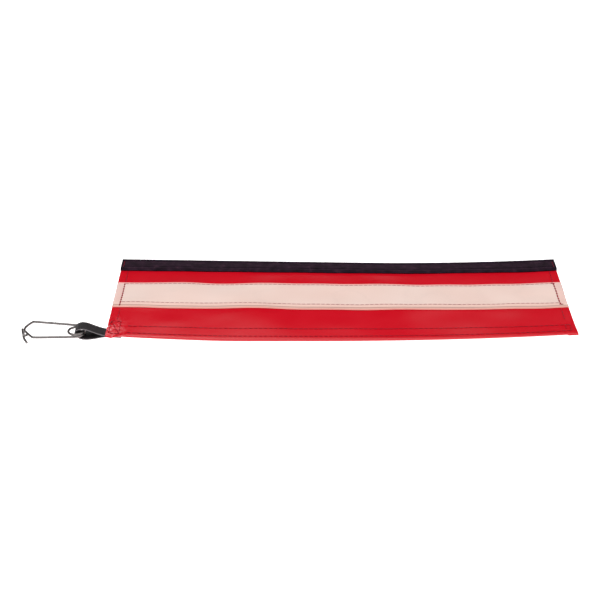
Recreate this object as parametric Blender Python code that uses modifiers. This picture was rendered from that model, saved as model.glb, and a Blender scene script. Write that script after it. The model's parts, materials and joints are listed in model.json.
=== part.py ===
"""A wrap-around marker sleeve that lies flat, with a wire snap hook on a strap at one corner.

A red coated-fabric sheet closes around a rope or a bar: a loop tape on top of its far edge meets a
hook tape under its near edge. A reflective band runs along the middle. The cloth is modelled as six
strips that turn about five lengthwise fold lines. X is the length, +Y the far edge and +Z up.
"""

import math

import bmesh
import bpy
from mathutils import Matrix, Vector

# Driving dimensions, in metres.
LENGTH = 0.457
SHEET = 0.0006  # coated fabric
FAR_FLAP = 0.0255
FAR_RED = 0.025
BAND = 0.050
NEAR_RED = 0.024
NEAR_FLAP = 0.0275
HEM = 0.010  # the fabric turned under at each end
TUCK = 0.0065  # its raw edge, turned in once more
LOOP_TAPE = (0.025, 0.0022)  # width, thickness
HOOK_TAPE = (0.025, 0.0020)
REFLECTIVE = 0.0004
THREAD_R = 0.00025
SINK = 0.0010  # the depth that the loop tape's stitches pull its pile down by
TAPE_SEAM = 0.0060  # a long row of stitches, inside a tape's edge
END_SEAM = 0.0025  # its short rows, inside a tape's end
HEM_SEAM = 0.0065
BAND_SEAMS = (0.0040, 0.0095)  # inside the band's far edge and its near one
STRAP = (0.0127, 0.0010)  # width, thickness
STRAP_INSET = 0.0030  # from the near edge
ANCHOR = 0.020  # the strap's sewn length under the corner
STRAP_REACH = 0.0206  # from the sheet's end to the ring's far side, where the hook turns
STRAP_FREE = 0.0015  # from the sheet's end to the line that the strap bends at
STRAP_PINCH = 0.0015  # the two layers side by side, past that line
STRAP_FILLET = 0.0020
WIRE = 0.0018
STRAP_PLAY = 0.00055  # between the strap's edge and the coil
LEG_R = 0.0515  # of the gate's curved leg, about the coil's centre
LEG_ANGLES = (171.4, 202.0)  # where that leg starts, and its free tip
FAR_BEND = (-0.0409, 0.0170)  # the gate's shoulder, from the coil's centre
NEAR_BEND = (-0.0432, -0.0080)  # the fixed arm's shoulder
CATCH_Y = (0.0015, -0.0040)  # the catch crosses under the leg, then back over it
CATCH_TIP = 0.0032  # how far its tip comes back inside the leg
BEND_R = 0.0030

# Clearances.
GAP = 0.0003  # between two pieces that lie on each other
FOLD_GAP = 0.0003  # between two strips, across a fold line
FOLD_SETBACK = 0.0020  # of what lies under the sheet, from a fold line
EDGE = 0.0003  # a tape's edge, inside the sheet's edge
ARC_STEP = 15.0  # degrees

# Heights.
SHEET_Z = HOOK_TAPE[1] + GAP
TOP_Z = SHEET_Z + SHEET
TAPE_Z = TOP_Z + GAP

# Fold lines and edges across the sheet, from the far edge to the near one.
WIDTH = FAR_FLAP + FAR_RED + BAND + NEAR_RED + NEAR_FLAP
FAR_EDGE = WIDTH / 2
NEAR_EDGE = -WIDTH / 2
FOLD_5 = FAR_EDGE - FAR_FLAP
FOLD_4 = FOLD_5 - FAR_RED
FOLD_3 = FOLD_4 - BAND / 2
FOLD_2 = FOLD_3 - BAND / 2
FOLD_1 = FOLD_2 - NEAR_RED
END = LENGTH / 2
STRAP_Y = NEAR_EDGE + STRAP_INSET + STRAP[0] / 2
STRAP_FAR = STRAP_Y + STRAP[0] / 2
RING_R = STRAP[0] / 2 + STRAP_PLAY + WIRE / 2

# The strap, the coil and its pivot.
STRAP_BEND = Vector((-END - STRAP_FREE, STRAP_Y, STRAP[1]))
FIXED_Z = STRAP[1] + GAP + WIRE / 2
TURN_PITCH = WIRE + GAP
PIVOT = Vector((-END - STRAP_REACH, STRAP_Y, FIXED_Z + TURN_PITCH / 2))
COIL = PIVOT - Vector((RING_R, 0, 0))
LOOP_INNER = RING_R + GAP / 3

RED = (0.62, 0.012, 0.030)
BLACK = (0.016, 0.014, 0.018)
LEATHER = (0.022, 0.018, 0.019)
SILVER = (0.83, 0.56, 0.49)
STEEL = (0.27, 0.25, 0.25)
DARK_RED = (0.33, 0.010, 0.018)


def material(name, colour, roughness, metallic=0.0):
    made = bpy.data.materials.new(name)
    made.use_nodes = True
    shader = made.node_tree.nodes["Principled BSDF"]
    shader.inputs["Base Color"].default_value = (*colour, 1)
    shader.inputs["Roughness"].default_value = roughness
    shader.inputs["Metallic"].default_value = metallic
    return made


def add(name, data, axis, look):
    """Puts one piece in the collection, carried by the empty on its body's joint axis."""
    made = bpy.data.objects.new(name, data)
    data.materials.append(material(name, *look))
    parts.objects.link(made)
    made.parent = axis
    made.matrix_parent_inverse = axis.matrix_world.inverted()
    return made


def joint_axis(name, place, carrier):
    empty = bpy.data.objects.new(name, None)
    empty.empty_display_size = 0.01
    parts.objects.link(empty)
    empty.location = Vector(place) - carrier.matrix_world.translation
    empty.parent = carrier
    bpy.context.view_layer.update()
    return empty


def arc(centre, radius, start, stop, step=ARC_STEP):
    """Points (u, v) on an arc, with angles in degrees."""
    count = max(2, math.ceil(abs(stop - start) / step) + 1)
    angles = [math.radians(start + (stop - start) * i / (count - 1)) for i in range(count)]
    return [(centre[0] + radius * math.cos(a), centre[1] + radius * math.sin(a)) for a in angles]


def rounded(points, radius, steps=4):
    """An open route with its corners rounded, each by a quadratic curve as long as the radius asks."""
    route = [points[0]]
    for before, corner, after in zip(points, points[1:], points[2:]):
        reach = min(radius, (before - corner).length / 2, (after - corner).length / 2)
        start = corner + (before - corner).normalized() * reach
        stop = corner + (after - corner).normalized() * reach
        for i in range(steps + 1):
            t = i / steps
            route.append(start * (1 - t) ** 2 + corner * 2 * t * (1 - t) + stop * t**2)
    return route + [points[-1]]


def tube(name, route, radius, axis, look, closed=False, sides=2):
    """A wire or a thread along a route of points."""
    data = bpy.data.curves.new(name, "CURVE")
    data.dimensions = "3D"
    data.bevel_depth = radius
    data.bevel_resolution = sides
    data.use_fill_caps = not closed
    line = data.splines.new("POLY")
    line.points.add(len(route) - 1)
    for point, place in zip(line.points, route):
        point.co = (*place, 1)
    line.use_cyclic_u = closed
    return add(name, data, axis, look)


def cut_away(piece, name, shape):
    """Subtracts a closed shape from a piece."""
    data = bpy.data.meshes.new(name)
    shape.to_mesh(data)
    shape.free()
    cutter = bpy.data.objects.new(name, data)
    cutters.objects.link(cutter)
    cutter.hide_render = True
    cutter.display_type = "WIRE"
    cutter.parent = piece.parent
    cutter.matrix_parent_inverse = piece.matrix_parent_inverse
    cut = piece.modifiers.new(name, "BOOLEAN")
    cut.operation = "DIFFERENCE"
    cut.object = cutter


def box_shape(low, high):
    shape = bmesh.new()
    size = [b - a for a, b in zip(low, high)]
    middle = [(a + b) / 2 for a, b in zip(low, high)]
    bmesh.ops.create_cube(shape, size=1, matrix=Matrix.Translation(middle) @ Matrix.Diagonal((*size, 1)))
    return shape


def block(name, low, high, axis, look, round_edge=0.0):
    """A flat tape: a box between two corners, with its edges eased."""
    shape = box_shape(low, high)
    data = bpy.data.meshes.new(name)
    shape.to_mesh(data)
    shape.free()
    made = add(name, data, axis, look)
    if round_edge:
        bevel = made.modifiers.new("eased edges", "BEVEL")
        bevel.width = round_edge
        bevel.segments = 2
    return made


# The sheet.


def hem_route(side):
    """The fabric's middle line (x, z) from the raw edge inside a hem to the flat sheet's end."""
    upper = SHEET_Z + SHEET / 2
    lower = SHEET / 2
    outer_r = (upper - lower) / 2
    inner_r = SHEET / 2 + GAP
    tuck_x = END - HEM + SHEET / 2 + inner_r
    bend_x = END - SHEET / 2 - outer_r
    route = [(tuck_x + TUCK, lower + 2 * inner_r)]
    route += arc((tuck_x, lower + inner_r), inner_r, 90, 270, 30)
    route += arc((bend_x, lower + outer_r), outer_r, -90, 90, 22.5)
    return [(side * x, z) for x, z in route]


def strip(name, near, far, axis, near_folds=True, far_folds=True):
    """One lengthwise strip of the sheet, with a hem turned under at each end.

    What is turned under stops short of each fold line, so that two hems don't meet as the fold closes.
    """
    flat = (near + near_folds * FOLD_GAP / 2, far - far_folds * FOLD_GAP / 2)
    under = (near + near_folds * FOLD_SETBACK, far - far_folds * FOLD_SETBACK)
    left, right = hem_route(-1), hem_route(1)[::-1]
    step = [(left[-1][0] + GAP, left[-1][1]), (right[0][0] - GAP, right[0][1])]
    stations = [(*p, *under) for p in left] + [(*p, *flat) for p in step] + [(*p, *under) for p in right]
    shape = bmesh.new()
    spans = len(stations) - 1
    bmesh.ops.create_grid(shape, x_segments=spans, y_segments=1, size=1)
    for vert in shape.verts:
        x, z, near_y, far_y = stations[round((vert.co.x + 1) / 2 * spans)]
        vert.co = (x, near_y if vert.co.y < 0 else far_y, z)
    data = bpy.data.meshes.new(name)
    shape.to_mesh(data)
    shape.free()
    made = add(name, data, axis, (RED, 0.42))
    fabric = made.modifiers.new("fabric", "SOLIDIFY")
    fabric.thickness = SHEET
    fabric.offset = 0
    return made


def leave_room_for_strap(flap):
    """Cuts the near flap's left hem away where the strap lies under the corner."""
    low = (-END - HEM, NEAR_EDGE - HEM, -HEM)
    high = (-END + HEM + GAP, STRAP_FAR + GAP, SHEET_Z)
    cut_away(flap, "room for the strap", box_shape(low, high))


# The stitching.


def stitch_box(name, low, high, z, axis):
    """Thread sewn round a rectangle."""
    height = z + GAP + THREAD_R
    corners = [(low[0], low[1]), (high[0], low[1]), (high[0], high[1]), (low[0], high[1])]
    tube(name, [(x, y, height) for x, y in corners], THREAD_R, axis, (DARK_RED, 0.7), True, 1)


def sink_stitches(tape, low, high, top):
    """Presses a channel into a tape's pile round a box of stitches."""
    half = THREAD_R + GAP
    shape = box_shape((low[0] - half, low[1] - half, top - SINK), (high[0] + half, high[1] + half, top + SINK))
    level = [face for face in shape.faces if abs(face.normal.z) > 0.5]
    bmesh.ops.inset_individual(shape, faces=level, thickness=2 * half)
    rims = [edge for face in level for edge in face.edges]
    bmesh.ops.delete(shape, geom=level, context="FACES_ONLY")
    bmesh.ops.bridge_loops(shape, edges=rims)
    bmesh.ops.recalc_face_normals(shape, faces=shape.faces)
    cut_away(tape, "channel for the stitches", shape)


def stitch_row(name, route, z, axis):
    height = z + GAP + THREAD_R
    tube(name, [(x, y, height) for x, y in route], THREAD_R, axis, (DARK_RED, 0.7), False, 1)


# The strap.


def strap_loop(axis):
    """The free loop: two layers side by side at the bend line, opening into a round the ring turns in.

    Its outline is drawn as (x, z) and extruded by the strap's width.
    """
    thick = STRAP[1]
    pivot = (PIVOT.x, PIVOT.z)
    outer_r = LOOP_INNER + thick
    fillet_from = outer_r - STRAP_FILLET
    fillet_x = pivot[0] - math.sqrt(fillet_from**2 - (pivot[1] - STRAP_FILLET) ** 2)
    fillet = (fillet_x, STRAP_FILLET)
    meet = 180 + math.degrees(math.atan2(pivot[1] - STRAP_FILLET, pivot[0] - fillet_x))
    pinch = Vector((STRAP_BEND.x - STRAP_PINCH, 2 * thick))
    to_pivot = Vector(pivot) - pinch
    slope = math.degrees(math.atan2(to_pivot.y, to_pivot.x) - math.asin(outer_r / to_pivot.length))
    leave = slope - 90
    outer = [(pinch.x, 0)]
    outer += arc(fillet, STRAP_FILLET, 270, meet)
    outer += arc(pivot, outer_r, meet, leave, 8)[1:]
    outer += [tuple(pinch)]
    outer += arc((STRAP_BEND.x, thick), thick, 90, -90)
    inner_line = pinch - Vector((math.cos(math.radians(leave)), math.sin(math.radians(leave)))) * thick
    tip_x = inner_line.x - (inner_line.y - thick) / math.tan(math.radians(slope))
    inner = [(tip_x, thick)]
    inner += arc(fillet, STRAP_FILLET - thick, 270, meet)
    inner += arc(pivot, LOOP_INNER, meet, leave, 8)[1:]
    data = bpy.data.curves.new("strap_loop", "CURVE")
    data.dimensions = "2D"
    data.fill_mode = "BOTH"
    data.extrude = STRAP[0] / 2
    for outline in (outer, inner):
        line = data.splines.new("POLY")
        line.points.add(len(outline) - 1)
        for point, place in zip(line.points, outline):
            point.co = (*place, 0, 1)
        line.use_cyclic_u = True
    made = add("strap_loop", data, axis, (LEATHER, 0.45))
    made.rotation_euler = (math.pi / 2, 0, 0)
    made.location = (0, STRAP_Y, 0)
    return made


# The snap hook: one spring wire, shown as a fixed part and a gate that turns about the coil.


def around_coil(radius, angle, z):
    turn = math.radians(angle)
    return Vector((COIL.x + radius * math.cos(turn), COIL.y + radius * math.sin(turn), z))


def snap_hook_body(axis):
    """The lower turn of the coil, the fixed arm and the catch that wraps round the gate's leg."""
    turn = [around_coil(RING_R, a, FIXED_Z) for a in range(228, -91, -12)]
    low = WIRE / 2
    shoulder = Vector((COIL.x + NEAR_BEND[0], COIL.y + NEAR_BEND[1], low))
    under = Vector((COIL.x - LEG_R, COIL.y + CATCH_Y[0], low))
    arm = [turn[-1] + Vector((-0.001, 0, 0)), shoulder, under + Vector((0.0012, -0.0010, 0))]
    wrap_r = TURN_PITCH
    catch = []
    for i in range(9):
        turned = math.radians(-90 - 180 * i / 8)
        y = CATCH_Y[0] + (CATCH_Y[1] - CATCH_Y[0]) * i / 8
        x = -LEG_R + wrap_r * math.cos(turned)
        catch.append(Vector((COIL.x + x, COIL.y + y, LEG_Z + wrap_r * math.sin(turned))))
    catch.append(catch[-1] + Vector((CATCH_TIP, -GAP, 0)))
    route = turn + rounded(arm, BEND_R)[1:] + catch
    tube("snap_hook_body", route, WIRE / 2, axis, (STEEL, 0.3, 1.0))


def snap_hook_gate(axis):
    """The upper half turn, the long arm, and the curved leg that slides through the catch."""
    upper = FIXED_Z + TURN_PITCH
    turn = [around_coil(RING_R, a, upper) for a in range(-90, 91, 12)]
    shoulder = Vector((COIL.x + FAR_BEND[0], COIL.y + FAR_BEND[1], LEG_Z))
    leg = [around_coil(LEG_R, a, LEG_Z) for a in
           (LEG_ANGLES[0] + (LEG_ANGLES[1] - LEG_ANGLES[0]) * i / 12 for i in range(13))]
    arm = rounded([turn[-1] + Vector((-0.001, 0, 0)), shoulder, leg[0], leg[2]], BEND_R)
    tube("snap_hook_gate", turn + arm[1:] + leg[3:], WIRE / 2, axis, (STEEL, 0.3, 1.0))


# The build.

LEG_Z = WIRE / 2 + TURN_PITCH

for old in list(bpy.data.objects):
    bpy.data.objects.remove(old)
parts = bpy.data.collections.new("marker_sleeve")
cutters = bpy.data.collections.new("cutters")
bpy.context.scene.collection.children.link(parts)
bpy.context.scene.collection.children.link(cutters)
base = bpy.data.objects.new("base", None)
parts.objects.link(base)

fold_3 = joint_axis("fold_3_axis", (0, FOLD_3, SHEET_Z), base)
fold_4 = joint_axis("fold_4_axis", (0, FOLD_4, SHEET_Z), base)
fold_5 = joint_axis("fold_5_axis", (0, FOLD_5, SHEET_Z), fold_4)
fold_2 = joint_axis("fold_2_axis", (0, FOLD_2, SHEET_Z), fold_3)
fold_1 = joint_axis("fold_1_axis", (0, FOLD_1, SHEET_Z), fold_2)
strap_axis = joint_axis("strap_axis", STRAP_BEND, fold_1)
hook_axis = joint_axis("hook_axis", PIVOT, strap_axis)
gate_axis = joint_axis("gate_axis", COIL, hook_axis)

strip("far_flap", FOLD_5, FAR_EDGE, fold_5, far_folds=False)
strip("far_red_panel", FOLD_4, FOLD_5, fold_4)
strip("band_panel_far", FOLD_3, FOLD_4, base)
strip("band_panel_near", FOLD_2, FOLD_3, fold_3)
strip("near_red_panel", FOLD_1, FOLD_2, fold_2)
near_flap = strip("near_flap", NEAR_EDGE, FOLD_1, fold_1, near_folds=False)
leave_room_for_strap(near_flap)

loop_far = FAR_EDGE - EDGE
loop_near = loop_far - LOOP_TAPE[0]
loop_tape = block("loop_tape", (-END + EDGE, loop_near, TAPE_Z), (END - EDGE, loop_far, TAPE_Z + LOOP_TAPE[1]),
                  fold_5, (BLACK, 0.95), LOOP_TAPE[1] / 4)
hook_near = NEAR_EDGE + EDGE
hook_far = hook_near + HOOK_TAPE[0]
block("hook_tape", (-END + ANCHOR + GAP, hook_near, 0), (END - HEM - GAP, hook_far, HOOK_TAPE[1]),
      fold_1, (BLACK, 0.9))
for name, near, far, axis in (
    ("reflective_far", FOLD_3, FOLD_4, base),
    ("reflective_near", FOLD_2, FOLD_3, fold_3),
):
    block(name, (-END + EDGE, near + FOLD_GAP / 2, TAPE_Z), (END - EDGE, far - FOLD_GAP / 2, TAPE_Z + REFLECTIVE),
          axis, (SILVER, 0.4))

loop_box = ((-END + END_SEAM, loop_near + TAPE_SEAM), (END - END_SEAM, loop_far - TAPE_SEAM))
sink_stitches(loop_tape, *loop_box, TAPE_Z + LOOP_TAPE[1])
stitch_box("loop_tape_stitching", *loop_box, TAPE_Z + LOOP_TAPE[1] - SINK, fold_5)
stitch_box("hook_tape_stitching", (-END + ANCHOR + END_SEAM, hook_near + TAPE_SEAM),
           (END - HEM - END_SEAM, hook_far - TAPE_SEAM), TOP_Z, fold_1)
band_top = TAPE_Z + REFLECTIVE
for name, fold, seam, axis in (
    ("reflective_stitching_far", FOLD_3 + FOLD_SETBACK / 2, FOLD_4 - BAND_SEAMS[0], base),
    ("reflective_stitching_near", FOLD_3 - FOLD_SETBACK / 2, FOLD_2 + BAND_SEAMS[1], fold_3),
):
    side = END - HEM_SEAM
    stitch_row(name, [(-side, fold), (-side, seam), (side, seam), (side, fold)], band_top, axis)
for name, near, far, axis in (
    ("far_red", FOLD_4, FOLD_5, fold_4),
    ("near_red", FOLD_1, FOLD_2, fold_2),
):
    for side, word in ((-1, "left"), (1, "right")):
        x = side * (END - HEM_SEAM)
        route = [(x, near + FOLD_SETBACK / 2), (x, far - FOLD_SETBACK / 2)]
        stitch_row(f"{name}_hem_stitching_{word}", route, TOP_Z, axis)

block("strap_anchor", (-END - STRAP_FREE + STRAP[1] + GAP, STRAP_Y - STRAP[0] / 2, 0),
      (-END + ANCHOR, STRAP_FAR, 2 * STRAP[1]), fold_1, (LEATHER, 0.45), STRAP[1] / 5)
stitch_box("strap_stitching", (-END + END_SEAM, STRAP_Y - STRAP[0] / 2 + END_SEAM),
           (-END + ANCHOR - END_SEAM * 2, STRAP_FAR - END_SEAM), TOP_Z, fold_1)
strap_loop(strap_axis)
snap_hook_body(hook_axis)
snap_hook_gate(gate_axis)


def stand_on_origin():
    """Moves the whole object so that the middle of its underside is at the origin."""
    bpy.context.view_layer.update()
    graph = bpy.context.evaluated_depsgraph_get()
    corners = []
    for piece in parts.objects:
        if piece.type != "EMPTY":
            made = piece.evaluated_get(graph)
            corners += [made.matrix_world @ vert.co for vert in made.to_mesh().vertices]
            made.to_mesh_clear()
    low = [min(c[i] for c in corners) for i in range(3)]
    high = [max(c[i] for c in corners) for i in range(3)]
    base.location = (-(low[0] + high[0]) / 2, -(low[1] + high[1]) / 2, -low[2])
    bpy.context.view_layer.update()


stand_on_origin()
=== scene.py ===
import json
import math

import bmesh
import bpy
from mathutils import Matrix, Vector, noise


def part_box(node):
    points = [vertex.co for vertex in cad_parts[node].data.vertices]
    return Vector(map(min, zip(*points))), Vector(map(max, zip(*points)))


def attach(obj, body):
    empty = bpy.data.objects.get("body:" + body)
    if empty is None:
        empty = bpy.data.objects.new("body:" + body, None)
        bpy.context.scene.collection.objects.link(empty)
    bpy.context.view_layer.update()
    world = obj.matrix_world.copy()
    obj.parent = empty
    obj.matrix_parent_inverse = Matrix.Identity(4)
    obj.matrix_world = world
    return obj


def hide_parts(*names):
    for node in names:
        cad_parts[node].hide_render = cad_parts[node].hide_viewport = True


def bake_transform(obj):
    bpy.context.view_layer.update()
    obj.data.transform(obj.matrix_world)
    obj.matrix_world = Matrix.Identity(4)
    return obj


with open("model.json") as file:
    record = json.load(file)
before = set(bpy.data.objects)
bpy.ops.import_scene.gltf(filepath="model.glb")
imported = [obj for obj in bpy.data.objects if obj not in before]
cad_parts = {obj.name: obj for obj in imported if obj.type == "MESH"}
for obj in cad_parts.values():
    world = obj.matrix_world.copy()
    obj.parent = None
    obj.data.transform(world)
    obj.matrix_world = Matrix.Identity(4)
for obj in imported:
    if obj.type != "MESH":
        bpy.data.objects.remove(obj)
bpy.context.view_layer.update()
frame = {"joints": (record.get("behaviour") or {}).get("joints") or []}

# The sheet: polyester cloth coated with red PVC, cut from a roll. It was wrapped round a rope before, so it still
# bows up along its middle and its ends curl off the ground. Each end is turned under and sewn down as a hem.
# It bends along five lengthwise lines, so it is made as five pieces, each with one of those lines in it.

LEFT, RIGHT = (corner.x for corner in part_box("band_panel_far"))
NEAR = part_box("near_flap")[0].y
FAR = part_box("far_flap")[1].y
CENTRE_X = (LEFT + RIGHT) / 2
HALF_LENGTH = (RIGHT - LEFT) / 2
WIDTH = FAR - NEAR
AXES = {joint["name"]: Vector(joint["pos_m"]) for joint in frame["joints"]}
UNDERSIDE = AXES["wrap"].z
FABRIC = 0.0006
TOP = UNDERSIDE + FABRIC
STEP = 0.0025  # along the sheet, between two rows of points
CROSS_STEP = 0.0015
BEND_ZONE = 0.0045  # to each side of a fold line
HEM = 0.010
TUCK = 0.0065
HEM_BEND = 0.00065  # radius of the hem's outer fold, at the middle of the fabric
TUCK_BEND = 0.00033
NEAR_LIP = 0.0028  # the near edge droops over the tape that is sewn under it
LIP_DROOP = 0.0007
# How high three lengthwise lines of the sheet lie: at mid-length, and then, for the curl at the left end and the one
# at the right, the height it gains, where it starts (0 is mid-length and 1 the end) and how sharply it grows.
NEAR_LINE = (-0.0006, (0.0059, 0.45, 1.4), (0.0080, -0.2, 2.3))
MIDDLE_LINE = (0.0024, (0.0030, -0.2, 1.0), (0.0030, 0.2, 4.0))
FAR_LINE = (-0.0012, (0.0048, -0.25, 1.1), (0.0048, 0.25, 2.0))
BOW = 0.36  # the share of the width in which it climbs from an edge to the middle's height
BILLOW = 0.0014
PUCKER = 0.0015
CREASED = (0.010, 0.024)  # how far the strap's stitches reach, along and across, from the near left corner
CREASE_FADE = (0.012, 0.010)
SPLAY = (0.0014, 0.8)  # of the near corners, and where along the sheet it starts


def rise(position, start, power):
    """A curl: 0 as far as its start, growing to 1 at the sheet's end."""
    return max(0.0, min(1.0, (position - start) / (1 - start))) ** power


def corner_pull(x, y):
    """How much the stitches of the strap crumple the near left corner: 1 in their midst, fading to 0 around them."""
    along = max(0.0, 1 - max(0.0, x - LEFT - CREASED[0]) / CREASE_FADE[0])
    across = max(0.0, 1 - max(0.0, y - NEAR - CREASED[1]) / CREASE_FADE[1])
    return along * across


def line_height(line, along):
    """How high one lengthwise line of the sheet lies, where along runs from -1 to 1."""
    low, (left, left_start, left_power), (right, right_start, right_power) = line
    return low + left * rise(-along, left_start, left_power) + right * rise(along, right_start, right_power)


def lift(x, y):
    """How far the sheet stands above the flat, at a place on it."""
    along = (x - CENTRE_X) / HALF_LENGTH
    across = min(1.0, max(0.0, (y - NEAR) / WIDTH))
    middle = line_height(MIDDLE_LINE, along)
    line, inward = (NEAR_LINE, across) if across < 0.5 else (FAR_LINE, 1 - across)
    edge = line_height(line, along)
    share = math.sin(math.pi / 2 * min(1.0, inward / BOW))
    wave = BILLOW * noise.noise(Vector((x * 24, y * 34, 0.5))) * math.sin(math.pi * across) ** 1.5
    pucker = PUCKER * noise.noise(Vector((x * 230, y * 230, 2.5))) * corner_pull(x, y)
    return edge + (middle - edge) * share + wave + pucker


def settled(place):
    """A place on the flat sheet, moved to where the real sheet lies. The near corners splay outward a little."""
    x, y, z = place
    along = (x - CENTRE_X) / HALF_LENGTH
    across = min(1.0, max(0.0, (y - NEAR) / WIDTH))
    splay = SPLAY[0] * rise(abs(along), SPLAY[1], 2.0) * (1 - across) ** 3
    return Vector((x + math.copysign(splay, along), y, z + lift(x, y)))


def finish_piece(name, shape, looks, settle=True):
    """Turns a bmesh into a piece with its materials, laid as the sheet lies."""
    if settle:
        for vert in shape.verts:
            vert.co = settled(vert.co)
    mesh = bpy.data.meshes.new(name)
    shape.to_mesh(mesh)
    shape.free()
    for look in looks:
        mesh.materials.append(look)
    for face in mesh.polygons:
        face.use_smooth = True
    piece = bpy.data.objects.new(name, mesh)
    bpy.context.scene.collection.objects.link(piece)
    return piece


def linear(hex_colour):
    """An sRGB hex colour as linear light."""
    channels = [int(hex_colour[i:i + 2], 16) / 255 for i in (0, 2, 4)]
    return (*[c / 12.92 if c <= 0.04045 else ((c + 0.055) / 1.055) ** 2.4 for c in channels], 1.0)


def new_material(name, roughness, metallic=0.0):
    """A material, its node tree and its shader."""
    made = bpy.data.materials.new(name)
    made.use_nodes = True
    shader = made.node_tree.nodes["Principled BSDF"]
    shader.inputs["Roughness"].default_value = roughness
    shader.inputs["Metallic"].default_value = metallic
    return made, made.node_tree, shader


def add_node(tree, kind, settings=(), **links):
    """Adds a node. Settings are its own values or its sockets' values; links name its sockets and what feeds them."""
    made = tree.nodes.new(kind)
    for key, value in dict(settings).items():
        if isinstance(key, int) or key in made.inputs:
            made.inputs[key].default_value = value
        else:
            setattr(made, key, value)
    for key, source in links.items():
        socket = made.inputs[int(key[1:])] if key[1:].isdigit() else made.inputs[key.replace("_", " ")]
        tree.links.new(source, socket)
    return made


def colour_ramp(tree, stops, source):
    """A ramp through (position, hex colour) stops."""
    ramp = add_node(tree, "ShaderNodeValToRGB", Fac=source)
    while len(ramp.color_ramp.elements) < len(stops):
        ramp.color_ramp.elements.new(0.5)
    for element, (position, colour) in zip(ramp.color_ramp.elements, stops):
        element.position = position
        element.color = linear(colour)
    return ramp.outputs["Color"]


# PVC-coated polyester: the scrim of yarns shows through the satin coating as a faint grid, and the colour drifts
# a little over a hand's width. Pale patches are painted in where the strap's stitches crease it, as highlights on
# the creases. Real yarns are 0.5 mm apart; they are drawn 1.2 mm apart so that they show.
YARN = 0.0012
CORNER_GLINT = (0.010, 0.022)  # the painted highlights at the creased corner, along and across, before they fade
CORNER_GLINT_END = (0.019, 0.038)
red_pvc, tree, shader = new_material("red pvc-coated polyester, satin", 0.30)
spot = add_node(tree, "ShaderNodeTexCoord").outputs["Object"]
drift = add_node(tree, "ShaderNodeTexNoise", {"Scale": 22.0, "Detail": 3.0, "Roughness": 0.55}, Vector=spot)
grain = add_node(tree, "ShaderNodeTexNoise", {"Scale": 2600.0, "Detail": 2.0}, Vector=spot)
warp, weft = (
    add_node(tree, "ShaderNodeTexWave", {"bands_direction": way, "Scale": 0.314 / YARN, "Distortion": 0.4},
             Vector=spot)
    for way in "XY"
)
scrim = add_node(tree, "ShaderNodeMath", {"operation": "MULTIPLY"}, _0=warp.outputs["Fac"], _1=weft.outputs["Fac"])
plain = colour_ramp(tree, [(0.15, "CE031A"), (0.85, "D70A21")], drift.outputs["Fac"])
axes = add_node(tree, "ShaderNodeSeparateXYZ", Vector=spot)
from_end = add_node(tree, "ShaderNodeMapRange", {"From Min": LEFT + CORNER_GLINT_END[0], "From Max": LEFT + CORNER_GLINT[0]},
                    Value=axes.outputs["X"])
from_edge = add_node(tree, "ShaderNodeMapRange", {"From Min": NEAR + CORNER_GLINT_END[1], "From Max": NEAR + CORNER_GLINT[1]},
                     Value=axes.outputs["Y"])
# Painted highlights: noisy patches of a paler red, E87A80, laid over the creased near left corner and fading away
# from it.
creases = add_node(tree, "ShaderNodeTexNoise", {"Scale": 210.0, "Detail": 3.0, "Distortion": 1.5}, Vector=spot)
corner_glint = add_node(tree, "ShaderNodeMapRange", {"From Min": 0.50, "From Max": 0.66, "To Max": 0.55},
                Value=creases.outputs["Fac"])
corner_glint = add_node(tree, "ShaderNodeMath", {"operation": "MULTIPLY"}, _0=corner_glint.outputs["Result"],
                _1=from_end.outputs["Result"])
corner_glint = add_node(tree, "ShaderNodeMath", {"operation": "MULTIPLY"}, _0=corner_glint.outputs["Value"],
                _1=from_edge.outputs["Result"])
coloured = add_node(tree, "ShaderNodeMix", {"data_type": "RGBA", 7: linear("E87A80")}, _0=corner_glint.outputs["Value"],
                    _6=plain)
tree.links.new(coloured.outputs[2], shader.inputs["Base Color"])
rough = add_node(tree, "ShaderNodeMapRange", {"To Min": 0.15, "To Max": 0.25}, Value=drift.outputs["Fac"])
tree.links.new(rough.outputs["Result"], shader.inputs["Roughness"])
height = add_node(tree, "ShaderNodeMath", {"operation": "MULTIPLY_ADD", 1: 0.35}, _0=grain.outputs["Fac"],
                  _2=scrim.outputs["Value"])
bump = add_node(tree, "ShaderNodeBump", {"Strength": 0.09, "Distance": 0.00006}, Height=height.outputs["Value"])
tree.links.new(bump.outputs["Normal"], shader.inputs["Normal"])
shader.inputs["Specular IOR Level"].default_value = 0.42


def end_fold():
    """The fabric's middle line at a hem, as (inward from the sheet's end, z), from its raw edge to the flat sheet."""
    flat_z = UNDERSIDE + FABRIC / 2
    low = flat_z - 2 * HEM_BEND
    line = [(HEM - TUCK_BEND - TUCK + i * TUCK / 3, low + 2 * TUCK_BEND) for i in range(3)]
    for i in range(5):
        turn = math.radians(90 - 45 * i)
        line.append((HEM - TUCK_BEND + TUCK_BEND * math.cos(turn), low + TUCK_BEND + TUCK_BEND * math.sin(turn)))
    run = HEM - TUCK_BEND - HEM_BEND - FABRIC / 2
    line += [(HEM - TUCK_BEND - i * run / 4, low) for i in range(1, 4)]
    for i in range(7):
        turn = math.radians(-90 - 30 * i)
        line.append((HEM_BEND + FABRIC / 2 + HEM_BEND * math.cos(turn),
                     flat_z - HEM_BEND + HEM_BEND * math.sin(turn)))
    return line


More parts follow.
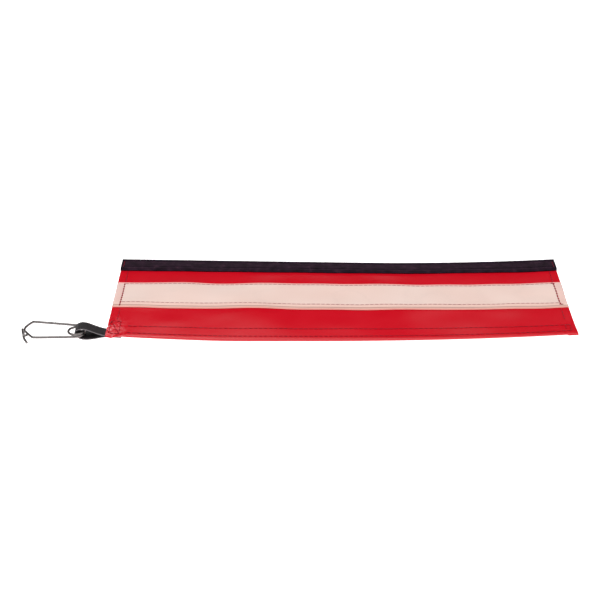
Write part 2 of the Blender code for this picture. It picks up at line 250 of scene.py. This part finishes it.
def sheet_piece(name, near, far, nodes):
    """One lengthwise piece of the sheet with its hems, with one fold line running through it."""
    fold = end_fold()
    run = RIGHT - LEFT - 2 * fold[-1][0]
    count = round(run / STEP)
    stations = [(LEFT + inward, z) for inward, z in fold]
    stations += [(LEFT + fold[-1][0] + run * i / count, fold[-1][1]) for i in range(1, count)]
    stations += [(RIGHT - inward, z) for inward, z in reversed(fold)]
    spans = len(stations) - 1
    rows = round((far - near) / CROSS_STEP)
    shape = bmesh.new()
    bmesh.ops.create_grid(shape, x_segments=spans, y_segments=rows, size=1)
    for vert in shape.verts:
        x, z = stations[round((vert.co.x + 1) / 2 * spans)]
        y = near + (far - near) * (vert.co.y + 1) / 2
        droop = LIP_DROOP * max(0.0, 1 - (y - NEAR) / NEAR_LIP) ** 2
        vert.co = (x, y, z - droop)
    bmesh.ops.recalc_face_normals(shape, faces=shape.faces)
    bmesh.ops.solidify(shape, geom=shape.faces[:], thickness=FABRIC)
    shape.normal_update()
    for edge in {edge for face in shape.faces if abs(face.normal.y) > 0.9 for edge in face.edges}:
        edge.smooth = False
    piece = finish_piece(name, shape, [red_pvc])
    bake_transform(piece)
    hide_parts(*nodes)
    return piece


def between(first, second):
    """The middle of the strip between two fold lines."""
    return (AXES[first].y + AXES[second].y) / 2


SHEET_CUTS = (NEAR, between("flap", "fold_2"), between("fold_2", "wrap"), between("wrap", "fold_4"),
              between("fold_4", "fold_5"), FAR)
for index, (name, bodies, joint, nodes) in enumerate((
    ("sheet_near_edge", ("near_flap", "near_red"), "flap", ("near_flap",)),
    ("sheet_near_red", ("near_red", "band_near"), "fold_2", ("near_red_panel",)),
    ("sheet_middle", ("band_near", "band"), "wrap", ("band_panel_near",)),
    ("sheet_far_red", ("band", "far_red"), "fold_4", ("band_panel_far",)),
    ("sheet_far_edge", ("far_red", "far_flap"), "fold_5", ("far_red_panel", "far_flap")),
)):
    sheet_piece(name, SHEET_CUTS[index], SHEET_CUTS[index + 1], nodes)

# The loop tape: black woven hook-and-loop tape, its soft side up, sewn along the far edge on all four sides.
# Its two selvages are bare weave, and the pile between them stands up in small loops, pressed down by the stitches.

LOOP_LOW, LOOP_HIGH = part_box("loop_tape")
LOOP_BASE = 0.0009
PILE = 0.0022
SELVAGE = 0.0016
PILE_EDGE = 0.0009
LOOP_SEAM = 0.0060  # its long rows of stitches, inside its edges
LOOP_END_SEAM = 0.0025
SEAM_PRESS = 0.0012
SEAM_HALF = 0.0010
TUFT = 0.00016
LAY = 0.00004  # one layer above the next


def slab(near, far, left, right, columns, rows, low, height_at):
    """A thin closed body: a flat bottom at low, and a top whose height above it is height_at(x, y)."""
    shape = bmesh.new()
    bmesh.ops.create_grid(shape, x_segments=columns, y_segments=rows, size=1)
    for vert in shape.verts:
        vert.co = (left + (right - left) * (vert.co.x + 1) / 2, near + (far - near) * (vert.co.y + 1) / 2, low)
    top = shape.faces[:]
    copy = bmesh.ops.duplicate(shape, geom=shape.verts[:] + shape.edges[:] + top)
    under = [item for item in copy["geom"] if isinstance(item, bmesh.types.BMFace)]
    for vert in {v for face in top for v in face.verts}:
        vert.co.z = low + height_at(vert.co.x, vert.co.y)
    bmesh.ops.reverse_faces(shape, faces=under)
    rims = [edge for edge in shape.edges if edge.is_boundary]
    bmesh.ops.bridge_loops(shape, edges=rims)
    bmesh.ops.recalc_face_normals(shape, faces=shape.faces)
    return shape


def loop_height(x, y):
    """Selvage, then pile, pushed down along the stitches."""
    inside = min(y - LOOP_LOW.y, LOOP_HIGH.y - y)
    along = min(x - LOOP_LOW.x, LOOP_HIGH.x - x)
    pile = min(1.0, max(0.0, (inside - SELVAGE) / PILE_EDGE))
    height = LOOP_BASE + (PILE - LOOP_BASE) * math.sin(math.pi / 2 * pile)
    for distance in (abs(inside - LOOP_SEAM), abs(along - LOOP_END_SEAM) if inside > LOOP_SEAM else 1.0):
        press = max(0.0, 1 - distance / SEAM_HALF)
        height -= SEAM_PRESS * press * pile
    tuft = noise.noise(Vector((x * 520, y * 520, 0)))
    return height + TUFT * tuft * pile


# Nylon loop pile: matt black with a faint violet cast, and a soft sheen where the loops catch the light.
# Loops are about 0.6 mm apart.
black_pile, tree, shader = new_material("black nylon loop pile", 0.9)
spot = add_node(tree, "ShaderNodeTexCoord").outputs["Object"]
loops = add_node(tree, "ShaderNodeTexVoronoi", {"Scale": 1500.0}, Vector=spot)
streak = add_node(tree, "ShaderNodeTexNoise", {"Scale": 130.0, "Detail": 4.0}, Vector=spot)
tree.links.new(colour_ramp(tree, [(0.30, "1A1119"), (0.55, "271925"), (0.80, "3E2835")], streak.outputs["Fac"]),
               shader.inputs["Base Color"])
bump = add_node(tree, "ShaderNodeBump", {"Strength": 0.7, "Distance": 0.0003}, Height=loops.outputs["Distance"])
tree.links.new(bump.outputs["Normal"], shader.inputs["Normal"])
shader.inputs["Sheen Weight"].default_value = 0.05
shader.inputs["Sheen Roughness"].default_value = 0.5
shader.inputs["Sheen Tint"].default_value = (0.8, 0.4, 0.55, 1)
shader.inputs["Specular IOR Level"].default_value = 0.07

columns = round((LOOP_HIGH.x - LOOP_LOW.x) / (STEP / 2))
shape = slab(LOOP_LOW.y, LOOP_HIGH.y, LOOP_LOW.x, LOOP_HIGH.x, columns, 42, TOP + LAY, loop_height)
loop_tape = finish_piece("loop_tape_pile", shape, [black_pile])
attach(loop_tape, "far_flap")
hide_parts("loop_tape")

# The hook tape: the stiff side of the same tape, sewn under the near edge with its hooks facing down.

HOOK_LOW, HOOK_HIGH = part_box("hook_tape")
HOOK_SETBACK = 0.0030  # its edge stays behind the fabric's lip
HOOK_SHORT = 0.0020  # its other edge, from the nearest fold
HOOK_THICK = 0.0015

black_hooks, tree, shader = new_material("black nylon hooks", 0.75)
spot = add_node(tree, "ShaderNodeTexCoord").outputs["Object"]
hooks = add_node(tree, "ShaderNodeTexVoronoi", {"Scale": 900.0, "Randomness": 0.25}, Vector=spot)
tree.links.new(colour_ramp(tree, [(0.1, "2B282C"), (0.6, "151316")], hooks.outputs["Distance"]),
               shader.inputs["Base Color"])
bump = add_node(tree, "ShaderNodeBump", {"Strength": 0.9, "Distance": 0.0006, "invert": True},
                Height=hooks.outputs["Distance"])
tree.links.new(bump.outputs["Normal"], shader.inputs["Normal"])

columns = round((HOOK_HIGH.x - HOOK_LOW.x) / STEP)
shape = slab(HOOK_LOW.y + HOOK_SETBACK, HOOK_HIGH.y - HOOK_SHORT, HOOK_LOW.x, HOOK_HIGH.x, columns, 14,
             UNDERSIDE - LAY - HOOK_THICK, lambda x, y: HOOK_THICK)
hook_tape = finish_piece("hook_tape_hooks", shape, [black_hooks])
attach(hook_tape, "near_flap")
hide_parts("hook_tape")

# The reflective band: a glossy PVC tape with fine glass prisms sealed in it, pale peach under plain light. Its centre
# is backed, and its welded margins are clear of prisms, so that they look paler and pinker. One weld line shows
# along its near margin. It is sewn on all four sides, and lies across the middle fold.

BAND_LOW = min(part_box("reflective_near")[0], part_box("reflective_far")[0], key=lambda corner: corner.y)
BAND_HIGH = max(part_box("reflective_near")[1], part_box("reflective_far")[1], key=lambda corner: corner.y)
BAND_THICK = 0.0005
WELD = 0.0040  # the weld line, from the near edge
WELD_DEPTH = 0.00012
WELD_HALF, SEAM_GROOVE_HALF = 0.0005, 0.0007
BAND_ROUND = 0.0006
BAND_SEAMS = (0.0032, 0.0095)  # its rows of stitches, inside its far edge and its near one
BAND_END = (0.0070, 0.0080)  # the prisms stop at its end seams
band_far_row = BAND_HIGH.y - BAND_SEAMS[0]
band_near_row = BAND_LOW.y + BAND_SEAMS[1]


def band_height(x, y):
    """Its soft edges, and the weld line pressed into its near margin."""
    edge = min(y - BAND_LOW.y, BAND_HIGH.y - y, x - BAND_LOW.x, BAND_HIGH.x - x)
    crown = BAND_THICK * min(1.0, 0.45 + edge / BAND_ROUND)
    weld = max(0.0, 1 - abs(y - BAND_LOW.y - WELD) / WELD_HALF)
    seam = max(0.0, 1 - min(abs(y - band_far_row), abs(y - band_near_row)) / SEAM_GROOVE_HALF)
    return crown - WELD_DEPTH * max(weld, seam)


# Reflective PVC tape: the prisms are a honeycomb about 1 mm across, too fine to be told apart, so they are drawn
# 1.6 mm across and faint.
band_look, tree, shader = new_material("reflective pvc prism tape", 0.34)
spot = add_node(tree, "ShaderNodeTexCoord").outputs["Object"]
axes = add_node(tree, "ShaderNodeSeparateXYZ", Vector=spot)
cells = add_node(tree, "ShaderNodeTexVoronoi", {"feature": "DISTANCE_TO_EDGE", "Scale": 620.0, "Randomness": 0.15},
                 Vector=spot)
clouds = add_node(tree, "ShaderNodeTexNoise", {"Scale": 14.0, "Detail": 2.0}, Vector=spot)
core = colour_ramp(tree, [(0.25, "F5D4C8"), (0.55, "F7DBD0"), (0.8, "F9E1D7")], clouds.outputs["Fac"])
across = add_node(tree, "ShaderNodeMapRange", {"From Min": BAND_LOW.y, "From Max": BAND_HIGH.y},
                  Value=axes.outputs["Y"])
# Colour across the band from its near edge. The weld line is a real groove, and its dark stops at 0.072 and 0.090 are
# painted shade along it. The pinker edges are the clear margins.
margins = colour_ramp(tree, [
    (0.0, "F09A90"), (0.03, "F2A598"), (0.045, "EDC9B8"), (0.066, "E8C4B4"), (0.072, "C08478"), (0.090, "C68E84"),
    (0.098, "F7D2C4"), (0.165, "FBD6CA"), (0.20, "F6CFC5"), (0.215, "F6CFC5"), (0.93, "F3CFC6"), (0.945, "F7C6BE"),
    (0.975, "FBB7B0"), (1.0, "FBA9A4"),
], across.outputs["Result"])
inner = None
for source, outside, inside in (
    (across.outputs["Result"], 0.195, 0.22),
    (across.outputs["Result"], 0.955, 0.925),
    (axes.outputs["X"], BAND_LOW.x + BAND_END[0], BAND_LOW.x + BAND_END[1]),
    (axes.outputs["X"], BAND_HIGH.x - BAND_END[0], BAND_HIGH.x - BAND_END[1]),
):
    side = add_node(tree, "ShaderNodeMapRange", {"From Min": outside, "From Max": inside}, Value=source)
    inner = side.outputs["Result"] if inner is None else add_node(
        tree, "ShaderNodeMath", {"operation": "MULTIPLY"}, _0=inner, _1=side.outputs["Result"]).outputs["Value"]
tinted = add_node(tree, "ShaderNodeMix", {"data_type": "RGBA"}, _0=inner, _6=margins, _7=core)
edge_of_cell = add_node(tree, "ShaderNodeMapRange", {"From Max": 0.12, "To Min": 0.965},
                        Value=cells.outputs["Distance"])
lit = add_node(tree, "ShaderNodeMix", {"data_type": "RGBA", "blend_type": "MULTIPLY", 0: 1.0},
               _6=tinted.outputs[2], _7=edge_of_cell.outputs["Result"])
tree.links.new(lit.outputs[2], shader.inputs["Base Color"])
bump = add_node(tree, "ShaderNodeBump", {"Strength": 0.12, "Distance": 0.0001}, Height=cells.outputs["Distance"])
tree.links.new(bump.outputs["Normal"], shader.inputs["Normal"])
shader.inputs["Coat Weight"].default_value = 0.3
shader.inputs["Coat Roughness"].default_value = 0.2

columns = round((BAND_HIGH.x - BAND_LOW.x) / STEP)
shape = slab(BAND_LOW.y, BAND_HIGH.y, BAND_LOW.x, BAND_HIGH.x, columns, 72, TOP + LAY, band_height)
reflective_band = finish_piece("reflective_band", shape, [band_look])
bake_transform(reflective_band)
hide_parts("reflective_near", "reflective_far")

# The stitching: dark red bonded polyester thread, lock-stitched by machine at 5 stitches to 25 mm. Each stitch is a
# short bead of thread that dives into the cloth at both ends.

PITCH = 0.0049
BEAD = (0.0022, 0.00033, 0.00026)  # half length, half width, half height
HEAVY_BEAD = (0.0022, 0.00080, 0.00042)  # the rows across the band's ends are sewn twice over
WANDER = 0.00012  # how far a stitch strays from its row
FINE_BEAD = (0.0024, 0.00024, 0.0002)  # along the band, where the stitches sink into the soft tape

# Bonded polyester: a slight gloss, and the twist of its plies shows as fine slanting ridges.
thread_look, tree, shader = new_material("dark red bonded thread", 0.55)
spot = add_node(tree, "ShaderNodeTexCoord").outputs["Object"]
twist = add_node(tree, "ShaderNodeTexWave", {"bands_direction": "DIAGONAL", "Scale": 900.0}, Vector=spot)
tree.links.new(colour_ramp(tree, [(0.0, "7A0A1A"), (1.0, "A61028")], twist.outputs["Fac"]),
               shader.inputs["Base Color"])
shader.inputs["Specular IOR Level"].default_value = 0.2
bump = add_node(tree, "ShaderNodeBump", {"Strength": 0.5, "Distance": 0.0001}, Height=twist.outputs["Fac"])
tree.links.new(bump.outputs["Normal"], shader.inputs["Normal"])


def sew(name, runs, body=None, node=None, bead_size=BEAD):
    """Rows of stitches, each run from one point to another at a height above the flat sheet."""
    shape = bmesh.new()
    for start, end, height in runs:
        a, b = Vector((*start, height)), Vector((*end, height))
        count = max(1, round((b - a).length / PITCH))
        direction = (b - a).normalized()
        turn = direction.to_track_quat("X", "Z").to_matrix().to_4x4()
        for i in range(count):
            middle = a.lerp(b, (i + 0.5) / count)
            middle += Vector((-direction.y, direction.x, 0)) * WANDER * noise.noise(middle * 400)
            scale = Matrix.Diagonal((*bead_size, 1))
            bead = bmesh.ops.create_uvsphere(shape, u_segments=8, v_segments=6, radius=1)
            bmesh.ops.transform(shape, verts=bead["verts"], matrix=Matrix.Translation(middle) @ turn @ scale)
    piece = finish_piece(name, shape, [thread_look])
    if body:
        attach(piece, body)
    if node:
        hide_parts(node)
    return piece


ON_SHEET = TOP + 0.00012
ON_BAND = TOP + LAY + BAND_THICK + 0.0001
ON_LOOP = TOP + LAY + PILE - SEAM_PRESS + 0.0002
far_seam = LOOP_HIGH.y - LOOP_SEAM
near_seam = LOOP_LOW.y + LOOP_SEAM
loop_left, loop_right = LOOP_LOW.x + LOOP_END_SEAM, LOOP_HIGH.x - LOOP_END_SEAM
sew("loop_tape_thread", [
    ((loop_left, far_seam), (loop_right, far_seam), ON_LOOP),
    ((loop_left, near_seam), (loop_right, near_seam), ON_LOOP),
    ((loop_left, near_seam), (loop_left, far_seam), ON_LOOP),
    ((loop_right, near_seam), (loop_right, far_seam), ON_LOOP),
], "far_flap", "loop_tape_stitching")

BAND_END_SEAM = 0.0078
band_left, band_right = BAND_LOW.x + BAND_END_SEAM, BAND_HIGH.x - BAND_END_SEAM
fold_y = AXES["wrap"].y
sew("band_thread_far", [
    ((band_left, band_far_row), (band_right, band_far_row), ON_BAND),
], "band", "reflective_stitching_far", FINE_BEAD)
sew("band_end_thread_far", [
    ((band_left, fold_y + BEND_ZONE), (band_left, band_far_row + 0.001), ON_BAND),
    ((band_right, fold_y + BEND_ZONE), (band_right - 0.0008, band_far_row + 0.001), ON_BAND),
    ((band_right - 0.0022, band_far_row + 0.0012), (band_right + 0.0004, band_far_row - 0.0006), ON_BAND),
], "band", bead_size=HEAVY_BEAD)
sew("band_thread_near", [
    ((band_left, band_near_row), (band_right, band_near_row), ON_BAND),
], "band_near", "reflective_stitching_near", FINE_BEAD)
sew("band_end_thread_near", [
    ((band_left - 0.0006, BAND_LOW.y + 0.002), (band_left, fold_y - BEND_ZONE), ON_BAND),
    ((band_right + 0.0006, BAND_LOW.y + 0.006), (band_right, fold_y - BEND_ZONE), ON_BAND),
    ((band_right, BAND_LOW.y + 0.0062), (band_right + 0.0026, BAND_LOW.y + 0.0062), ON_BAND),
], "band_near", bead_size=HEAVY_BEAD)
for name, x in (("left", band_left), ("right", band_right)):
    crossing = sew(f"band_thread_fold_{name}", [((x, fold_y - BEND_ZONE), (x, fold_y + BEND_ZONE), ON_BAND)],
                   bead_size=HEAVY_BEAD)
    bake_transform(crossing)

HEM_ROW = 0.0085
ROW_STOP = 0.001  # a row stops this short of a fold line
hem_left, hem_right = LEFT + HEM_ROW, RIGHT - HEM_ROW
far_red = (AXES["fold_4"].y + ROW_STOP, AXES["fold_5"].y - ROW_STOP)
near_red = (AXES["flap"].y + ROW_STOP, AXES["fold_2"].y - ROW_STOP)
for side, x in (("left", hem_left), ("right", hem_right)):
    sew(f"far_red_hem_thread_{side}", [((x, far_red[0]), (x, far_red[1]), ON_SHEET)], "far_red",
        f"far_red_hem_stitching_{side}")
    sew(f"near_red_hem_thread_{side}", [((x, near_red[0]), (x, near_red[1]), ON_SHEET)], "near_red",
        f"near_red_hem_stitching_{side}")

HOOK_ROWS = (0.0060, 0.0178)  # from the near edge
HOOK_ROW_ENDS = (0.0195, 0.0055)  # from the sheet's left end and its right one
SECOND_ROW = 0.0045  # the doubled end row, inside the first
row_left, row_right = LEFT + HOOK_ROW_ENDS[0], RIGHT - HOOK_ROW_ENDS[1]
lower, upper = NEAR + HOOK_ROWS[0], NEAR + HOOK_ROWS[1]
sew("hook_tape_thread", [
    ((row_left, lower), (row_right, lower), ON_SHEET),
    ((row_left, upper), (row_right, upper), ON_SHEET),
    ((row_right, lower), (row_right, upper + 0.001), ON_SHEET),
    ((row_right - SECOND_ROW, lower + 0.004), (row_right - SECOND_ROW, upper + 0.001), ON_SHEET),
], "near_flap", "hook_tape_stitching")

# The strap: a 12.7 mm band of black grained leatherette, folded round the hook's coil. Both its layers are sewn
# under the corner in a box with one diagonal, which puckers the cloth above. Its cut edges show a paler core.

STRAP_LOW, STRAP_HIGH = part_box("strap_loop")
STRAP_Y = (STRAP_LOW.y + STRAP_HIGH.y) / 2
STRAP_HALF = (STRAP_HIGH.y - STRAP_LOW.y) / 2
STRAP_THICK = 0.0010
STRAP_TWIST = 0.0026  # its far edge rides higher than its near one, under the coil
TWISTED = (0.15, 0.30)  # where along it the twist starts, and how far it runs
STRAP_STEPS = 6
# The middle of the strap's thickness, from its lower sewn end round the loop to its upper one: the distance out
# from the sheet's end and the height, in millimetres.
STRAP_LINE = ((-14, 3.7), (-8, 4.1), (-1, 4.5), (4, 4.1), (11, 2.6), (19, 1.5), (25, 2.2), (29, 4.6), (30.9, 8.2),
              (29.4, 11.4), (25, 13.2), (20, 12.8), (15, 10.8), (9, 8.2), (4, 6.5), (-1, 5.6), (-8, 5.2), (-14, 4.75))


def smooth_route(points, steps):
    """A smooth line through points, which are Vectors."""
    route = []
    ends = [points[0] * 2 - points[1], *points, points[-1] * 2 - points[-2]]
    for a, b, c, d in zip(ends, ends[1:], ends[2:], ends[3:]):
        for i in range(steps):
            t = i / steps
            route.append(0.5 * (2 * b + (c - a) * t + (2 * a - 5 * b + 4 * c - d) * t**2
                                + (3 * b - a - 3 * c + d) * t**3))
    return route + [points[-1]]


# Leatherette: a fine pebbled grain about 0.8 mm across with soft creases, satin black, a little brown.
strap_look, tree, shader = new_material("black grained leatherette", 0.52)
spot = add_node(tree, "ShaderNodeTexCoord").outputs["Object"]
pebbles = add_node(tree, "ShaderNodeTexVoronoi", {"Scale": 1250.0}, Vector=spot)
scuff = add_node(tree, "ShaderNodeTexNoise", {"Scale": 260.0, "Detail": 4.0}, Vector=spot)
tree.links.new(colour_ramp(tree, [(0.3, "191516"), (0.6, "201B1E"), (0.8, "2D272A")], scuff.outputs["Fac"]),
               shader.inputs["Base Color"])
bump = add_node(tree, "ShaderNodeBump", {"Strength": 0.4, "Distance": 0.0002}, Height=pebbles.outputs["Distance"])
tree.links.new(bump.outputs["Normal"], shader.inputs["Normal"])
shader.inputs["Specular IOR Level"].default_value = 0.3

cut_edge, tree, shader = new_material("leatherette cut edge, grey fibre", 0.8)
spot = add_node(tree, "ShaderNodeTexCoord").outputs["Object"]
fibres = add_node(tree, "ShaderNodeTexNoise", {"Scale": 1800.0, "Detail": 3.0}, Vector=spot)
tree.links.new(colour_ramp(tree, [(0.3, "4F4A4E"), (0.7, "7F787C")], fibres.outputs["Fac"]),
               shader.inputs["Base Color"])

route = smooth_route([Vector((LEFT - out / 1000, 0, z / 1000)) for out, z in STRAP_LINE], STRAP_STEPS)
spans = len(route) - 1
shape = bmesh.new()
bmesh.ops.create_grid(shape, x_segments=spans, y_segments=6, size=1)
for vert in shape.verts:
    share = (vert.co.x + 1) / 2
    place = route[round(share * spans)]
    turned = min(1.0, max(0.0, (share - TWISTED[0]) / TWISTED[1]))
    twist = STRAP_TWIST * (vert.co.y + 1) / 2 * math.sin(math.pi * turned) ** 2
    vert.co = (place.x, STRAP_Y + STRAP_HALF * vert.co.y, place.z + twist)
bmesh.ops.solidify(shape, geom=shape.faces[:], thickness=STRAP_THICK)
bmesh.ops.recalc_face_normals(shape, faces=shape.faces)
for face in shape.faces:
    face.material_index = int(abs(face.normal.y) > 0.9)
strap = finish_piece("strap_ribbon", shape, [strap_look, cut_edge], settle=False)
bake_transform(strap)
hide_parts("strap_loop", "strap_anchor")

BOX_ACROSS, BOX_ALONG = (0.0040, 0.0255), (0.0030, 0.0125)  # from the sheet's near edge, and from its end
box_near, box_far = NEAR + BOX_ACROSS[0], NEAR + BOX_ACROSS[1]
box_left, box_right = LEFT + BOX_ALONG[0], LEFT + BOX_ALONG[1]
sew("strap_thread", [
    ((box_left, box_near), (box_right, box_near), ON_SHEET),
    ((box_right, box_near), (box_right, box_far + 0.001), ON_SHEET),
    ((box_left, box_far), (box_right, box_far), ON_SHEET),
    ((box_left, box_near), (box_left, box_far), ON_SHEET),
    ((box_left, box_far), (box_right, box_near), ON_SHEET),
], "near_flap", "strap_stitching")

# The snap hook: one length of spring steel wire. It is coiled one and a half turns, and its two arms run
# out from the coil. The fixed arm ends in a catch, and the gate's curved leg slides through that catch.

WIRE = 0.0024
COIL_AXIS = AXES["gate_swing"]
COIL_SHIFT = 0.0015  # the coil hangs this far out of the loop
COIL = Vector((COIL_AXIS.x - COIL_SHIFT, COIL_AXIS.y, 0))
COIL_R = 0.0078
LOW_TURN, HIGH_TURN = 0.0050, 0.0088
ARM_Z, LEG_Z = 0.0046, 0.0067
LEG_R = 0.0511
LEG_FROM, LEG_TURN, LEG_STEPS = 171.4, 30.6, 16
COIL_STEPS = 72
WIRE_SIDES = 5


def around(radius, degrees, z):
    """A place at a radius and a turn about the coil's centre."""
    turn = math.radians(degrees)
    return Vector((COIL.x + radius * math.cos(turn), COIL.y + radius * math.sin(turn), z))


def from_coil(x, y, z):
    """A place measured from the coil's centre."""
    return Vector((COIL.x + x, COIL.y + y, z))


# Spring steel wire, drawn and nickel-plated: dull grey, with fine scratches along it and smudges from handling.
steel, tree, shader = new_material("nickel-plated spring wire", 0.28, 1.0)
spot = add_node(tree, "ShaderNodeTexCoord").outputs["Object"]
smudge = add_node(tree, "ShaderNodeTexNoise", {"Scale": 240.0, "Detail": 4.0}, Vector=spot)
tree.links.new(colour_ramp(tree, [(0.30, "666160"), (0.55, "787372"), (0.80, "8A8584")], smudge.outputs["Fac"]),
               shader.inputs["Base Color"])
rough = add_node(tree, "ShaderNodeMapRange", {"To Min": 0.20, "To Max": 0.42}, Value=smudge.outputs["Fac"])
tree.links.new(rough.outputs["Result"], shader.inputs["Roughness"])
scratch = add_node(tree, "ShaderNodeTexNoise", {"Scale": 3000.0, "Detail": 2.0}, Vector=spot)
bump = add_node(tree, "ShaderNodeBump", {"Strength": 0.12, "Distance": 0.00005}, Height=scratch.outputs["Fac"])
tree.links.new(bump.outputs["Normal"], shader.inputs["Normal"])


def wire_piece(name, route, body=None):
    """A round wire along a route of points, with its ends closed."""
    curve = bpy.data.curves.new(name, "CURVE")
    curve.dimensions = "3D"
    curve.bevel_depth = WIRE / 2
    curve.bevel_resolution = WIRE_SIDES
    curve.use_fill_caps = True
    line = curve.splines.new("POLY")
    line.points.add(len(route) - 1)
    for point, place in zip(line.points, route):
        point.co = (*place, 1)
    carrier = bpy.data.objects.new(name, curve)
    bpy.context.scene.collection.objects.link(carrier)
    bpy.context.view_layer.update()
    mesh = bpy.data.meshes.new_from_object(carrier)
    bpy.data.objects.remove(carrier)
    mesh.name = name
    mesh.materials.clear()
    mesh.materials.append(steel)
    for face in mesh.polygons:
        face.use_smooth = True
    piece = bpy.data.objects.new(name, mesh)
    bpy.context.scene.collection.objects.link(piece)
    if body:
        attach(piece, body)
    return piece


turns = [around(COIL_R, 90 - 540 * i / COIL_STEPS, HIGH_TURN + (LOW_TURN - HIGH_TURN) * i / COIL_STEPS)
         for i in range(COIL_STEPS + 1)]
coil = wire_piece("hook_coil", turns)
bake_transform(coil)

# The fixed arm: out from the coil's lower turn, round the shoulder, and then up and back over the leg as the catch.
ROUTE_STEPS = 6
fixed = smooth_route([turns[-1], *(from_coil(*place) for place in (
    (-0.0060, -COIL_R, LOW_TURN - 0.0002), (-0.0200, -0.0080, 0.0047), (-0.0390, -0.0082, ARM_Z),
    (-0.0425, -0.0072, ARM_Z), (-0.0465, -0.0025, ARM_Z), (-0.0500, 0.0020, ARM_Z + 0.0001),
    (-0.0517, 0.0033, ARM_Z + 0.0009), (-0.0528, 0.0024, LEG_Z + 0.0002), (-0.0524, 0.0000, LEG_Z + 0.0019),
    (-0.0515, -0.0040, LEG_Z + 0.0021), (-0.0502, -0.0085, LEG_Z + 0.0019), (-0.0489, -0.0103, LEG_Z + 0.0014),
    (-0.0477, -0.0096, LEG_Z + 0.0010), (-0.0469, -0.0082, LEG_Z + 0.0006),
))], ROUTE_STEPS)
fixed_arm = wire_piece("hook_fixed_arm", fixed, "snap_hook")
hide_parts("snap_hook_body")

# The gate: out from the coil's upper turn, round the far shoulder, and then back across as the curved leg, which
# sinks a little and turns in at its tip.
leg = [around(LEG_R, LEG_FROM + LEG_TURN * i / LEG_STEPS, LEG_Z - 0.0012 * (i / LEG_STEPS) ** 2)
       + Vector((0.0022 * max(0.0, (i - 9) / 7) ** 1.5, 0, 0)) for i in range(LEG_STEPS + 1)]
gate = smooth_route([turns[0], *(from_coil(*place) for place in (
    (-0.0060, COIL_R + 0.0008, HIGH_TURN - 0.0001), (-0.0200, 0.0116, 0.0081), (-0.0420, 0.0165, 0.0070),
    (-0.0450, 0.0162, 0.0069), (-0.0475, 0.0132, 0.0068),
)), leg[0]], ROUTE_STEPS)
gate_arm = wire_piece("hook_gate_arm", gate + leg[1:], "gate")
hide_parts("snap_hook_gate")

# The ground, the light and the camera: a pale sweep lit from all round, as for a catalogue. One broad soft light
# stands behind the sheet and one in front, and two small ones behind it give the coating its patches of haze.

SWEEP_DROP = 0.10  # it lies below the object, so that the folded sheet has room to hang
sweep_look, tree, shader = new_material("white lit sweep", 0.9)
shader.inputs["Base Color"].default_value = (0.9, 0.9, 0.9, 1)
shader.inputs["Emission Color"].default_value = (1, 1, 1, 1)
shader.inputs["Emission Strength"].default_value = 0.85
shape = bmesh.new()
bmesh.ops.create_grid(shape, x_segments=1, y_segments=1, size=6, matrix=Matrix.Translation((0, 0, -SWEEP_DROP)))
sweep = finish_piece("sweep", shape, [sweep_look], settle=False)

scene = bpy.context.scene
scene.world = bpy.data.worlds.new("soft white room")
scene.world.use_nodes = True
backdrop = scene.world.node_tree.nodes["Background"]
backdrop.inputs["Color"].default_value = (1, 1, 1, 1)
tree = scene.world.node_tree
gaze = add_node(tree, "ShaderNodeSeparateXYZ", Vector=add_node(tree, "ShaderNodeTexCoord").outputs["Generated"])
# The room is bright overhead, in front and near the floor, and dark in between, which keeps the coating's red deep.
above = add_node(tree, "ShaderNodeMapRange", {
    "interpolation_type": "SMOOTHSTEP", "From Min": 0.64, "From Max": 0.90, "To Min": 0.03, "To Max": 1.72,
}, Value=gaze.outputs["Z"])
front = add_node(tree, "ShaderNodeMapRange", {
    "interpolation_type": "SMOOTHSTEP", "From Min": 0.1, "From Max": -0.6, "To Max": 0.75,
}, Value=gaze.outputs["Y"])
low = add_node(tree, "ShaderNodeMapRange", {"From Min": 0.30, "From Max": 0.24}, Value=gaze.outputs["Z"])
total = above.outputs["Result"]
for part in (front, low):
    total = add_node(tree, "ShaderNodeMath", {"operation": "MAXIMUM"}, _0=total,
                     _1=part.outputs["Result"]).outputs["Value"]
tree.links.new(total, backdrop.inputs["Strength"])
scene.view_settings.view_transform = "Standard"


def soft_light(name, place, size, power):
    """A broad lamp that faces the object."""
    lamp = bpy.data.lights.new(name, "AREA")
    lamp.shape = "RECTANGLE"
    lamp.size, lamp.size_y = size
    lamp.energy = power
    holder = bpy.data.objects.new(name, lamp)
    holder.location = place
    holder.rotation_euler = Vector(place).to_track_quat("Z", "Y").to_euler()
    scene.collection.objects.link(holder)


soft_light("key", (-0.5, 0.9, 1.5), (0.7, 0.35), 3)
soft_light("fill", (0.9, -0.8, 1.6), (1.4, 1.0), 1.5)
soft_light("gloss_right", (0.40, 1.22, 0.92), (0.30, 0.10), 0.10)
soft_light("gloss_left", (-0.25, 1.10, 0.96), (0.14, 0.12), 0.075)

lens = bpy.data.cameras.new("camera")
lens.sensor_width = 36
lens.lens = 84.888
lens.clip_start = 0.01
viewer = bpy.data.objects.new("camera", lens)
LOOKS_DOWN = 30.875  # degrees
viewer.location = (0.0010, -1.2296, 0.7404)
viewer.rotation_euler = (math.radians(90 - LOOKS_DOWN), 0, 0)
scene.collection.objects.link(viewer)
scene.camera = viewer
